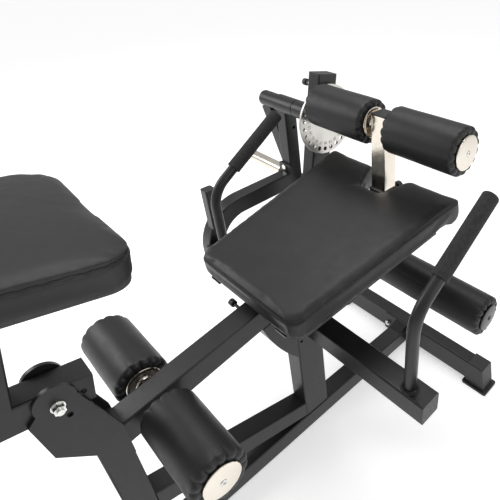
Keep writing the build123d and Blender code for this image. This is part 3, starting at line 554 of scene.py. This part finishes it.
def stitches(name, line, body, length=4.0, gap=1.6, radius=0.42):
    """A row of short raised stitches along a line on the cover."""
    pitch = (length + gap) * MM
    spots = evenly(line, pitch, closed=False)
    points = []
    faces = []
    sides = 6
    shares = (0.0, 0.12, 0.5, 0.88, 1.0)
    fatness = (0.25, 0.8, 1.0, 0.8, 0.25)
    for a, b in zip(spots, spots[1:]):
        run = (b - a) * (length / (length + gap))
        normal = run.orthogonal().normalized()
        side = run.normalized().cross(normal)
        base = len(points)
        for share, fat in zip(shares, fatness):
            for k in range(sides):
                turn = math.tau * k / sides
                around = normal * math.cos(turn) + side * math.sin(turn)
                points.append(a + run * share + around * radius * fat * MM)
        for row in range(len(shares) - 1):
            for k in range(sides):
                following = (k + 1) % sides
                faces.append((base + row * sides + k, base + row * sides + following,
                              base + (row + 1) * sides + following, base + (row + 1) * sides + k))
        faces.append(tuple(base + k for k in range(sides))[::-1])
        faces.append(tuple(base + (len(shares) - 1) * sides + k for k in range(sides)))
    return piece_from(name, points, faces, THREAD, body)


def on_surface(tree, spots, lift=0.0):
    """Nearest surface points, lifted off the cover by some millimetres."""
    placed = []
    for spot in spots:
        location, normal, _, _ = tree.find_nearest(spot)
        placed.append(location + normal * lift * MM)
    return placed


def prism(points_front, points_back, name, body):
    """Closed prism between two matching outlines."""
    count = len(points_front)
    faces = [tuple(range(count)), tuple(range(2 * count - 1, count - 1, -1))]
    for k in range(count):
        following = (k + 1) % count
        faces.append((k, k + count, following + count, following))
    piece = piece_from(name, points_front + points_back, faces, LOOKS["leatherette"], body)
    mark_sharp(piece, 30)
    return piece


def intersect(piece, other):
    """Keep what both closed forms share; other is removed."""
    modifier = piece.modifiers.new("Shape", "BOOLEAN")
    modifier.operation = "INTERSECT"
    modifier.solver = "EXACT"
    modifier.object = other
    apply_modifier(piece, modifier)
    bpy.data.objects.remove(other)


def relax(piece, rounds, factor=0.5):
    """Round the remeshed form's edges a little."""
    bm = bmesh.new()
    bm.from_mesh(piece.data)
    for _ in range(rounds):
        bmesh.ops.smooth_vert(bm, verts=bm.verts, factor=factor, use_axis_x=True,
                              use_axis_y=True, use_axis_z=True)
    bm.to_mesh(piece.data)
    bm.free()


def crown(piece, pad, half_across, middle_along, half_along, height):
    """Raise the top panel gently towards its middle."""
    for vertex in piece.data.vertices:
        spot = pad.local(vertex.co)
        if spot.z < -12:
            continue
        share = (1 - min(1, abs(spot.x) / half_across) ** 3)
        share *= (1 - min(1, abs(spot.y - middle_along) / half_along) ** 3)
        vertex.co += pad.up * height * share * min(1, (spot.z + 12) / 12) * MM


# ---- seat: sizes as in the CAD seat pad
SEAT = PadFrame(at(0, 90, 711.3), math.atan(0.1835))
SEAT_FRONT = 285.0
SEAT_REAR = -276.0
SEAT_HALF_FRONT = 249.0
SEAT_HALF_REAR = 197.0
SEAT_NOSE = 72.0
SEAT_SKIRT = 51.0
NOTCH = ((74, 0), (55, -52), (32, -97))


def seat_half(along):
    """Half the seat's width at a distance along it."""
    share = (along - SEAT_REAR) / (SEAT_FRONT - SEAT_REAR)
    return SEAT_HALF_REAR + (SEAT_HALF_FRONT - SEAT_HALF_REAR) * share


def curve_through(points, steps):
    """Smooth Catmull-Rom curve through 2D points."""
    path = [points[0]] + list(points) + [points[-1]]
    line = []
    for i in range(1, len(path) - 2):
        before, a, b, after = (Vector(p) for p in path[i - 1:i + 3])
        for k in range(steps):
            t = k / steps
            line.append(0.5 * ((2 * a) + (b - before) * t
                               + (2 * before - 5 * a + 4 * b - after) * t * t
                               + (3 * a - before - 3 * b + after) * t * t * t))
    line.append(Vector(points[-1]))
    return line


def seat_nose_profile():
    """Side view of the rolled front end, from its lowest point up to the top."""
    return curve_through([(SEAT_FRONT - 95, -SEAT_SKIRT), (SEAT_FRONT - 62, -SEAT_SKIRT - 8),
                          (SEAT_FRONT - 36, -SEAT_NOSE), (SEAT_FRONT - 14, -SEAT_NOSE + 8),
                          (SEAT_FRONT - 1, -44), (SEAT_FRONT, -22), (SEAT_FRONT - 6, -6),
                          (SEAT_FRONT - 24, 0)], 6)


def seat_cushion():
    """Seat cover with its notch, rolled front end, sewn edges and stitches."""
    inset = 3.0
    corners = [(-SEAT_HALF_REAR + inset, SEAT_REAR + inset, 42),
               (SEAT_HALF_REAR - inset, SEAT_REAR + inset, 42),
               (SEAT_HALF_FRONT - inset, SEAT_FRONT, 16)]
    corners += [(x + inset, SEAT_FRONT + y, r) for (x, y), r in zip(NOTCH, (4, 30, 16))]
    corners += [(-x - inset, SEAT_FRONT + y, r) for (x, y), r in zip(NOTCH[::-1], (16, 30, 4))]
    corners += [(-SEAT_HALF_FRONT + inset, SEAT_FRONT, 16)]
    outline = rounded(corners)
    cushion = prism([SEAT.point(p.x, p.y, 10) for p in outline],
                    [SEAT.point(p.x, p.y, -90) for p in outline], "seat_cushion", "frame")
    side = [Vector((SEAT_REAR - 10, 0)), Vector((SEAT_REAR - 10, -SEAT_SKIRT))] + seat_nose_profile()
    side_view = prism([SEAT.point(-300, p.x, p.y - 2) for p in side],
                      [SEAT.point(300, p.x, p.y - 2) for p in side], "seat_side_view", "frame")
    intersect(cushion, side_view)
    remesh(cushion, VOXEL)
    relax(cushion, 3)
    inflate(cushion, lambda p: SEAT.local(p).z < -SEAT_SKIRT + 4 and SEAT.local(p).y < 170, 5)
    crown(cushion, SEAT, 235, -10, 290, 3.0)
    relax(cushion, 2)
    subdivide(cushion)
    tree = surface_of(cushion)

    nose = [(p.x, p.y) for p in seat_nose_profile()[6:]]
    side_path = [SEAT.point(seat_half(v) - 1, v, w) for v, w in nose]
    corner = rounded([(-SEAT_HALF_REAR - 1, SEAT_REAR - 1, 44), (SEAT_HALF_REAR + 1, SEAT_REAR - 1, 44),
                      (SEAT_HALF_FRONT, SEAT_FRONT + 40, 5), (-SEAT_HALF_FRONT, SEAT_FRONT + 40, 5)])
    rear = [SEAT.point(p.x, p.y, 1) for p in corner[9:18][::-1] + corner[:9][::-1]]
    left_path = [SEAT.point(-seat_half(v) + 1, v, w) for v, w in nose]
    around = evenly(side_path + rear + left_path[::-1], 0.004)
    edge = on_surface(tree, around)
    notch = [SEAT.point(p.x, p.y, 1) for p in outline
             if abs(p.x) < 80 and p.y > SEAT_FRONT - 104]
    notch_edge = on_surface(tree, evenly(notch, 0.004))
    press_seam(cushion, edge, SEAM_WIDTH, 3.0)
    press_seam(cushion, notch_edge, SEAM_WIDTH, 2.6)
    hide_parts("seat_pad")
    tree = surface_of(cushion)
    for cord, line in (("seat_seam_cord", edge), ("seat_notch_seam", notch_edge)):
        tube_along(cord, on_surface(tree, evenly(line, 0.003), CORD_LIFT), 0.75, THREAD,
                   "frame")
    stitch_drop = Vector((0, 0, -5.5 * MM))
    beside = on_surface(tree, [p + stitch_drop for p in edge], STITCH_LIFT)
    stitches("seat_band_stitches", beside, "frame")
    return cushion


# ---- chest and back pad
CHEST = PadFrame(at(0, -460, 1002), math.radians(-12.5))
CHEST_HALF = 200.0
CHEST_FRONT = 66.0
CHEST_REAR = -400.0
CHEST_SKIRT = 50.0
CORNER_STEPS = 10


def chest_outline(inset):
    """Rounded rectangle with a very shallow scoop in its front edge."""
    half = CHEST_HALF - inset
    front = CHEST_FRONT - inset
    outline = rounded([(-half, CHEST_REAR + inset, 52), (half, CHEST_REAR + inset, 52),
                       (half, front, 62), (-half, front, 62)], CORNER_STEPS)
    scoop = [Vector((x, front - 3 * math.cos(x / 135 * math.pi / 2) ** 2))
             for x in range(120, -121, -20)]
    third_corner_end = 3 * (CORNER_STEPS + 1)
    return outline[:third_corner_end] + scoop + outline[third_corner_end:]


def chest_cushion():
    """Back and chest pad's cover with one sewn edge all round."""
    outline = chest_outline(1.5)
    cushion = prism([CHEST.point(p.x, p.y, -1) for p in outline],
                    [CHEST.point(p.x, p.y, -CHEST_SKIRT) for p in outline],
                    "chest_cushion", "back_rest")
    remesh(cushion, VOXEL)
    relax(cushion, 3)
    inflate(cushion, lambda p: CHEST.local(p).z < -CHEST_SKIRT + 3, 3)
    crown(cushion, CHEST, 192, -167, 230, 7.0)
    relax(cushion, 2)
    subdivide(cushion)
    tree = surface_of(cushion)
    loop = [CHEST.point(p.x, p.y, -7) for p in chest_outline(0.0)]
    edge = on_surface(tree, evenly(loop, 0.004, closed=True))
    edge.append(edge[0])
    press_seam(cushion, edge, SEAM_WIDTH, 3.2)
    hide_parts("back_pad")
    tree = surface_of(cushion)
    cord = on_surface(tree, evenly(edge[:-1], 0.003, closed=True), CORD_LIFT)
    tube_along("chest_seam_cord", cord, 0.8, THREAD, "back_rest", closed=True)
    beside = on_surface(tree, [p - CHEST.up * 6 * MM for p in edge], STITCH_LIFT)
    stitches("chest_band_stitches", beside, "back_rest")
    return cushion


# ------------------------------------------------------------------ rollers
GATHERS = 15
AROUND = GATHERS * 14
ROUND = 11.0                # rounding of the cover's ends


def roller_rows(length, cup_radius, radius):
    """Rows of (along, radius, gather depth) from one end face to the other."""
    half = []
    face_steps = 7
    for k in range(face_steps):
        share = k / face_steps
        half.append((3.0 - 2.5 * share, cup_radius - 6 + (radius - ROUND - cup_radius + 6) * share,
                     2.5 + 4.5 * math.sin(share * math.pi / 2)))
    round_steps = 9
    for k in range(round_steps + 1):
        turn = math.pi / 2 * k / round_steps
        half.append((ROUND + 0.5 - ROUND * math.cos(turn), radius - ROUND + ROUND * math.sin(turn),
                     7.0 * math.cos(turn * 0.82) ** 1.3))
    for along, depth in ((15, 1.3), (19, 0.8), (25, 0.4), (32, 0.15), (40, 0.0)):
        half.append((along, radius, depth))
    rest = [(length - along, r, depth) for along, r, depth in half[::-1]]
    inner = max(2, round((length - 80) / 20))
    plain = [(40 + (length - 80) * k / inner, radius, 0.0) for k in range(1, inner)]
    return half + plain + rest


def roller_cover(name, x_from, x_to, y, z, radius, cup_radius, body, seed, seam_turn):
    """Leatherette sleeve over a foam roller, gathered over both end faces."""
    draw = random.Random(seed)
    lobes = [[draw.uniform(0.6, 1.25) for _ in range(GATHERS)] for _ in range(2)]
    shift = [draw.uniform(0, 1) for _ in range(2)]
    rows = roller_rows(x_to - x_from, cup_radius, radius)
    middle_x = (x_from + x_to) / 2
    points = []
    for along, r, depth in rows:
        x = x_from + along
        end = 0 if x < middle_x else 1
        for k in range(AROUND):
            turn = math.tau * k / AROUND
            phase = (k / AROUND * GATHERS + shift[end]) % GATHERS
            lobe = lobes[end][int(phase) % GATHERS]
            crease = 1 - abs(math.sin(math.pi * (phase % 1))) ** 0.6
            inward = depth * crease * lobe
            waver = noise.noise(Vector((x * 0.012, math.cos(turn) * 1.3, math.sin(turn) * 1.3 + seed)))
            off_seam = math.remainder(turn - seam_turn, math.tau) * radius
            seam = 1.1 * math.exp(-(off_seam / 2.2) ** 2) if r > radius - 2 else 0.0
            reach = r - inward * 0.75 + waver * 0.8 - seam
            sign = 1 if end == 0 else -1
            points.append(at(x + sign * inward * 0.6, y + reach * math.cos(turn),
                             z + reach * math.sin(turn)))
    faces = ring_faces(len(rows), AROUND) + end_faces(len(rows), AROUND)
    cover = piece_from(name, points, faces, LOOKS["leatherette"], body)
    mark_sharp(cover, 70)
    return cover


def hexagon(radius, turn):
    """Radius of a hexagon's edge at a turn, for a socket or a bolt head."""
    part = turn % (math.pi / 3) - math.pi / 6
    return radius * math.cos(math.pi / 6) / math.cos(part)


def outer_cup(name, face_x, out, y, z, rim, look, slot, body):
    """Shallow domed cap with a rolled rim over a roller's outer end."""
    profile = [(-1.5, rim - 12), (-1.5, rim - 3), (-0.5, rim - 0.6), (1.2, rim), (2.6, rim - 0.5),
               (3.4, rim - 2.0), (3.9, rim - 5.0), (4.6, rim * 0.72), (5.2, rim * 0.5),
               (5.5, rim * 0.28), (5.6, 9.0), (5.1, 8.4), (5.1, 7.2)]
    return lathe(name, profile, at(face_x, y, z), out, look, body)


def socket_screw(name, face_x, out, y, z, body, slot="zinc_fasteners"):
    """Button-head screw with a hexagon socket, in the middle of a cup."""
    around = 48
    head = ((4.6, 6.9), (6.0, 6.9), (7.2, 6.0), (7.8, 4.4))
    socket = ((7.8, 3.2), (5.6, 3.0))
    points = []
    for along, radius in head:
        points += circle(at(face_x, y, z), out * along, radius, around)
    for along, radius in socket:
        points += circle(at(face_x, y, z), out * along, partial(hexagon, radius), around)
    rings = len(head) + len(socket)
    faces = ring_faces(rings, around) + end_faces(rings, around)
    screw = piece_from(name, points, faces, LOOKS[slot], body)
    mark_sharp(screw, 40)
    return screw


def inner_cup(name, face_x, out, y, z, rim, look, slot, body):
    """Dished flange with a collar round the axle, on a roller's inner end."""
    profile = [(-1.5, 13), (-1.5, rim - 4), (-0.4, rim - 1), (1.2, rim), (2.8, rim - 1),
               (3.4, rim - 3.5), (3.0, rim - 9), (2.2, rim - 16), (2.4, 20.5), (4.2, 19),
               (6.4, 18.2), (7.2, 17), (7.2, 13)]
    points = []
    for along, radius in profile:
        points += circle(at(face_x, y, z), out * along, radius, TURNED)
    cup = piece_from(name, points, ring_faces(len(profile), TURNED, True), look, body)
    mark_sharp(cup, 35)
    return cup


THIGH = (330, 912, 63.5)    # y, z and radius of each roller
THIGH_ENDS = (36, 263)      # inner and outer end face, as distances from the middle
THIGH_RIM = 45              # radius of the outer end cup
REAR = (-415, 507.4, 60)
REAR_ENDS = (52, 264)
REAR_RIM = 40
ANKLE = (352, 432, 60)
ANKLE_ENDS = (-262, 376)    # left and right end face
ANKLE_RIM = 39


def roller_set():
    """All the upholstered rollers with their end cups."""
    bright = (LOOKS["nickel_plate"], "nickel_plate")
    black = (LOOKS["roller_cup_black"], "roller_cup_black")
    for side, word in ((1, "right"), (-1, "left")):
        y, z, radius = THIGH
        body = f"thigh_{word}"
        inside, outside = (side * x for x in THIGH_ENDS)
        cover = roller_cover(f"thigh_cover_{word}", *sorted((inside, outside)), y, z, radius, THIGH_RIM,
                             body, 3 + side, math.radians(-60))
        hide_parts(f"thigh_roller_{word}")
        outer = outer_cup(f"thigh_cap_outer_{word}", outside, side, y, z, THIGH_RIM, *bright, body)
        inner_cup(f"thigh_cap_inner_{word}", inside, -side, y, z, THIGH_RIM - 1, *bright, body)
        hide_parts(f"thigh_cups_{word}")
        socket_screw(f"thigh_cap_screw_{word}", outside, side, y, z, body)
        y, z, radius = REAR
        inside, outside = (side * x for x in REAR_ENDS)
        body = "rear_pair"
        cover = roller_cover(f"rear_cover_{word}", *sorted((inside, outside)), y, z, radius,
                             REAR_RIM, body, 9 + side, math.radians(-120))
        outer = outer_cup(f"rear_cap_outer_{word}", outside, side, y, z, REAR_RIM, *bright, body)
        inner_cup(f"rear_cap_inner_{word}", inside, -side, y, z, REAR_RIM, *bright, body)
        socket_screw(f"rear_cap_screw_{word}", outside, side, y, z, body)
        if side > 0:
            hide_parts("rear_rollers")
            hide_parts("rear_cups")
    y, z, radius = ANKLE
    cover = roller_cover("ankle_cover", *ANKLE_ENDS, y, z, radius, ANKLE_RIM + 1, "ankle", 21,
                         math.radians(143))
    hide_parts("ankle_roller")
    outer = outer_cup("ankle_cap_outer", ANKLE_ENDS[1], 1, y, z, ANKLE_RIM, *black, "ankle")
    inner_cup("ankle_cap_inner", ANKLE_ENDS[0], -1, y, z, ANKLE_RIM, *black, "ankle")
    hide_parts("ankle_cups")
    socket_screw("ankle_cap_screw", ANKLE_ENDS[1], 1, y, z, "ankle", "roller_cup_black")


# ------------------------------------------------------------------ disc numbers
def disc_numbers():
    """Plain position numbers on the disc's face, inside the ring of holes."""
    _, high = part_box("selector_disc")
    hub = middle("selector_disc")
    face_x = high.x + 0.04 * MM
    holes = 24
    lean = math.radians(-10.6)
    number_circle = 77 * MM
    merged = bmesh.new()
    for number in range(1, holes + 1):
        turn = lean + math.tau * number / holes
        text = bpy.data.curves.new(f"number_{number}", "FONT")
        text.body = str(number)
        text.size = 13.5 * MM
        text.align_x = "CENTER"
        text.align_y = "CENTER"
        text.extrude = 0.12 * MM
        text.resolution_u = 3
        holder = bpy.data.objects.new(f"number_{number}", text)
        bpy.context.scene.collection.objects.link(holder)
        outward = Vector((0, math.cos(turn), math.sin(turn)))
        facing = Vector((1, 0, 0))
        reading = outward.cross(facing)
        place = Vector((face_x, hub.y, hub.z)) + outward * number_circle
        turned = Matrix((reading, outward, facing)).transposed().to_4x4()
        holder.matrix_world = Matrix.Translation(place) @ turned
        bpy.context.view_layer.update()
        mesh = bpy.data.meshes.new_from_object(
            holder.evaluated_get(bpy.context.evaluated_depsgraph_get()))
        mesh.transform(holder.matrix_world)
        merged.from_mesh(mesh)
        bpy.data.objects.remove(holder)
        bpy.data.curves.remove(text)
        bpy.data.meshes.remove(mesh)
    mesh = bpy.data.meshes.new("disc_numbers")
    merged.to_mesh(mesh)
    merged.free()
    mesh.materials.clear()
    mesh.materials.append(NUMBER_FILL)
    for polygon in mesh.polygons:
        polygon.material_index = 0
    numbers = bpy.data.objects.new("disc_numbers", mesh)
    bpy.context.scene.collection.objects.link(numbers)
    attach(numbers, "rotor")


# ------------------------------------------------------------------ weld beads
def weld(name, corners, body, seed, closed=True, radius=2.1):
    """A rippled bead along a line of layout points, painted with the frame."""
    draw = random.Random(seed)
    line = evenly([at(*c) for c in corners], 0.0022, closed)
    ripple = [p + Vector([draw.uniform(-0.35, 0.35) * MM for _ in range(3)]) for p in line]
    bead = tube_along(name, ripple, radius, LOOKS["painted_frame"], body,
                      closed, 8)
    for i, vertex in enumerate(bead.data.vertices):
        swell = 0.3 * math.sin(i // 8 * 1.45)
        vertex.co += (vertex.co - ripple[i // 8]).normalized() * swell * MM
    return bead


def level_loop(x, y, z, wide, deep):
    """Corners of a rounded rectangle lying flat at height z."""
    outline = rounded([(x - wide / 2, y - deep / 2, 5), (x + wide / 2, y - deep / 2, 5),
                       (x + wide / 2, y + deep / 2, 5), (x - wide / 2, y + deep / 2, 5)], 3)
    return [(p.x, p.y, z) for p in outline]


def upright_loop(x, y, z, wide, tall):
    """Corners of a rounded rectangle standing across X."""
    outline = rounded([(y - wide / 2, z - tall / 2, 5), (y + wide / 2, z - tall / 2, 5),
                       (y + wide / 2, z + tall / 2, 5), (y - wide / 2, z + tall / 2, 5)], 3)
    return [(x, p.x, p.y) for p in outline]


def round_loop(x, y, z, radius):
    """Circle lying flat at height z."""
    steps = 24
    return [(x + radius * math.cos(k * math.tau / steps), y + radius * math.sin(k * math.tau / steps), z)
            for k in range(steps)]


def frame_welds():
    """Beads where the tubes of the frame meet, in layout millimetres."""
    weld("weld_seat_post_foot", level_loop(0, -10.5, 75.5, 61, 88), "frame", 1)
    weld("weld_rear_post_foot", level_loop(0, -522, 75.5, 61, 61), "frame", 2)
    beam_side = 30.5
    weld("weld_cross_right", upright_loop(beam_side, 0, 447, 61, 61), "frame", 3)
    weld("weld_cross_left", upright_loop(-beam_side, 0, 447, 61, 61), "frame", 4)
    weld("weld_side_arm", [(-459.3, 30, 420), (-459.3, 30, 474)], "frame", 5, False)
    weld("weld_sleeve_sides", [(31, 300, 612), (31, 300, 668)], "frame", 6, False)
    weld("weld_sleeve_far", [(-31, 300, 612), (-31, 300, 668)], "frame", 7, False)
    weld("weld_sleeve_top", [(-28, 299.5, 669.5), (28, 299.5, 669.5)], "frame", 8, False)
    handle_x = 380
    weld("weld_handle_right", round_loop(handle_x, -5, 478, 20), "frame", 9, True, 2.6)
    weld("weld_handle_left", round_loop(-handle_x, -5, 478, 20), "frame", 10, True, 2.6)
    weld("weld_brace_rear", upright_loop(-520, 377, 664, 41, 50), "frame", 12, True, 1.8)


# ------------------------------------------------------------------ stage, light, camera
def stage():
    """A wide pale floor."""
    size = 40
    mesh = bpy.data.meshes.new("floor")
    mesh.from_pydata([(-size, -size, 0), (size, -size, 0), (size, size, 0), (-size, size, 0)],
                     [], [(0, 1, 2, 3)])
    mesh.materials.append(pale_floor())
    floor = bpy.data.objects.new("floor", mesh)
    bpy.context.scene.collection.objects.link(floor)


def softbox(name, spot, target, width, depth, watts):
    """Rectangular area light at spot, aimed at target; sizes in metres."""
    light = bpy.data.lights.new(name, "AREA")
    light.shape = "RECTANGLE"
    light.size = width
    light.size_y = depth
    light.energy = watts
    holder = bpy.data.objects.new(name, light)
    bpy.context.scene.collection.objects.link(holder)
    holder.location = spot
    holder.rotation_euler = (Vector(target) - Vector(spot)).to_track_quat("-Z", "Y").to_euler()


def lighting():
    """Even white surroundings with one large softbox above and one at each side."""
    world = bpy.data.worlds.new("studio")
    world.use_nodes = True
    background = world.node_tree.nodes["Background"]
    background.inputs["Color"].default_value = (1.0, 1.0, 1.0, 1)
    background.inputs["Strength"].default_value = 0.55
    bpy.context.scene.world = world
    softbox("softbox_top", (-0.6, 0.9, 3.6), (0, 0, 0.5), 2.2, 2.2, 46)
    softbox("softbox_left", (-2.6, -1.4, 2.4), (0, 0, 0.6), 1.3, 2.0, 42)
    softbox("softbox_right", (2.8, 0.8, 1.9), (0, 0, 0.6), 1.2, 2.0, 16)


CAMERA_SPOT = (783.4, -565.2, 1379.4)
CAMERA_RIGHT = Vector((0.736, 0.677, -0.005))
CAMERA_VIEW = Vector((-0.577, 0.623, -0.528))
CAMERA_LENS = 33.34
CAMERA_SHIFT = (-0.244, -0.0785)


def camera():
    """Camera above the machine's right rear corner, looking down at the seat."""
    data = bpy.data.cameras.new("camera")
    data.lens = CAMERA_LENS
    data.sensor_width = 36
    data.shift_x, data.shift_y = CAMERA_SHIFT
    data.clip_start = 0.02
    data.clip_end = 200
    holder = bpy.data.objects.new("camera", data)
    bpy.context.scene.collection.objects.link(holder)
    back = -CAMERA_VIEW.normalized()
    right = (CAMERA_RIGHT - back * CAMERA_RIGHT.dot(back)).normalized()
    up = back.cross(right)
    turned = Matrix((right, up, back)).transposed().to_4x4()
    holder.matrix_world = Matrix.Translation(at(*CAMERA_SPOT)) @ turned
    bpy.context.scene.camera = holder


seat_cushion()
chest_cushion()
roller_set()
disc_numbers()
frame_welds()
stage()
lighting()
camera()
bpy.context.scene.view_settings.view_transform = "Standard"


def plain(bounds):
    """Bounds as plain lists of numbers."""
    return [[float(n) for n in corner] for corner in bounds]
